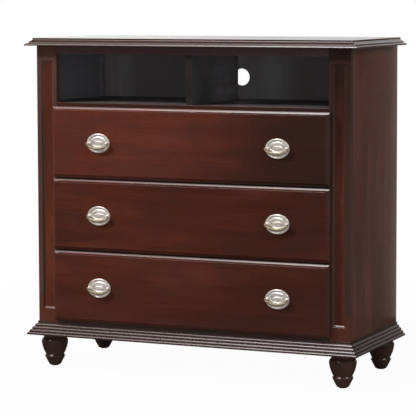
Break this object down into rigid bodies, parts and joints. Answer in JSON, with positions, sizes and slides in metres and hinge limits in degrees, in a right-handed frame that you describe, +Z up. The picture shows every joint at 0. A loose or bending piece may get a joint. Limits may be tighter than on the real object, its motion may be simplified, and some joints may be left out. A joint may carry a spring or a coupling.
{
  "type": "media chest",
  "caption": "Free-standing media chest with an open divided shelf over stacked full-width drawers, bail pulls, moulded top and base and turned feet.",
  "frame": {"origin": "on the floor, below the middle of the chest's overall width and depth", "axes": "+X to the right as seen from the front, +Y from the front to the back, +Z up"},
  "size_m": [1.118, 0.4593, 1.0505],
  "materials": {
    "stained_wood": "dark cherry stain under semi-gloss lacquer",
    "back_board": "thin board with a dark printed stain",
    "plain_wood": "bare sawn softwood",
    "drawer_box_wood": "clear-lacquered drawer board",
    "slide_steel": "zinc-plated sheet",
    "hardware_steel": "zinc-plated",
    "satin_nickel": "satin nickel plate",
    "glide_plastic": "nylon"
  },
  "bodies": {
    "case": {"top_panel": "stained_wood", "left_side_panel": "stained_wood", "right_side_panel": "stained_wood", "left_stile": "stained_wood", "right_stile": "stained_wood", "top_rail": "stained_wood", "shelf_edge_rail": "stained_wood", "upper_drawer_rail": "stained_wood", "lower_drawer_rail": "stained_wood", "bottom_rail": "stained_wood", "media_shelf": "stained_wood", "shelf_divider": "stained_wood", "left_rear_post": "stained_wood", "right_rear_post": "stained_wood", "upper_back_panel": "back_board", "lower_back_panel": "back_board", "back_panel_screws": "hardware_steel", "base_board": "plain_wood", "base_moulding_front": "stained_wood", "base_moulding_left": "stained_wood", "base_moulding_right": "stained_wood", "runner_battens": "plain_wood", "slide_channels": "slide_steel", "front_left_foot": "stained_wood", "front_right_foot": "stained_wood", "rear_left_foot": "stained_wood", "rear_right_foot": "stained_wood", "foot_bolts": "hardware_steel", "foot_glides": "glide_plastic"},
    "top_drawer": {"top_drawer_front": "stained_wood", "top_drawer_left_side": "drawer_box_wood", "top_drawer_right_side": "drawer_box_wood", "top_drawer_back": "drawer_box_wood", "top_drawer_bottom": "drawer_box_wood", "top_drawer_slides": "slide_steel", "top_pull_plates": "satin_nickel", "top_pull_posts": "satin_nickel"},
    "top_left_bail": {"top_left_bail": "satin_nickel"},
    "top_right_bail": {"top_right_bail": "satin_nickel"},
    "middle_drawer": {"middle_drawer_front": "stained_wood", "middle_drawer_left_side": "drawer_box_wood", "middle_drawer_right_side": "drawer_box_wood", "middle_drawer_back": "drawer_box_wood", "middle_drawer_bottom": "drawer_box_wood", "middle_drawer_slides": "slide_steel", "middle_pull_plates": "satin_nickel", "middle_pull_posts": "satin_nickel"},
    "middle_left_bail": {"middle_left_bail": "satin_nickel"},
    "middle_right_bail": {"middle_right_bail": "satin_nickel"},
    "bottom_drawer": {"bottom_drawer_front": "stained_wood", "bottom_drawer_left_side": "drawer_box_wood", "bottom_drawer_right_side": "drawer_box_wood", "bottom_drawer_back": "drawer_box_wood", "bottom_drawer_bottom": "drawer_box_wood", "bottom_drawer_slides": "slide_steel", "bottom_pull_plates": "satin_nickel", "bottom_pull_posts": "satin_nickel"},
    "bottom_left_bail": {"bottom_left_bail": "satin_nickel"},
    "bottom_right_bail": {"bottom_right_bail": "satin_nickel"}
  },
  "joints": [
    {"name": "top_drawer_slide", "type": "slide", "parent": "case", "child": "top_drawer", "axis": [0, -1, 0], "range_m": [0, 0.265]},
    {"name": "top_left_bail_hinge", "type": "hinge", "parent": "top_drawer", "child": "top_left_bail", "pos_m": [-0.302, -0.22605, 0.72365], "axis": [-1, 0, 0], "range_deg": [0, 100]},
    {"name": "top_right_bail_hinge", "type": "hinge", "parent": "top_drawer", "child": "top_right_bail", "pos_m": [0.302, -0.22605, 0.72365], "axis": [-1, 0, 0], "range_deg": [0, 100]},
    {"name": "middle_drawer_slide", "type": "slide", "parent": "case", "child": "middle_drawer", "axis": [0, -1, 0], "range_m": [0, 0.265]},
    {"name": "middle_left_bail_hinge", "type": "hinge", "parent": "middle_drawer", "child": "middle_left_bail", "pos_m": [-0.302, -0.22605, 0.49505], "axis": [-1, 0, 0], "range_deg": [0, 100]},
    {"name": "middle_right_bail_hinge", "type": "hinge", "parent": "middle_drawer", "child": "middle_right_bail", "pos_m": [0.302, -0.22605, 0.49505], "axis": [-1, 0, 0], "range_deg": [0, 100]},
    {"name": "bottom_drawer_slide", "type": "slide", "parent": "case", "child": "bottom_drawer", "axis": [0, -1, 0], "range_m": [0, 0.265]},
    {"name": "bottom_left_bail_hinge", "type": "hinge", "parent": "bottom_drawer", "child": "bottom_left_bail", "pos_m": [-0.302, -0.22605, 0.26645], "axis": [-1, 0, 0], "range_deg": [0, 100]},
    {"name": "bottom_right_bail_hinge", "type": "hinge", "parent": "bottom_drawer", "child": "bottom_right_bail", "pos_m": [0.302, -0.22605, 0.26645], "axis": [-1, 0, 0], "range_deg": [0, 100]}
  ]
}
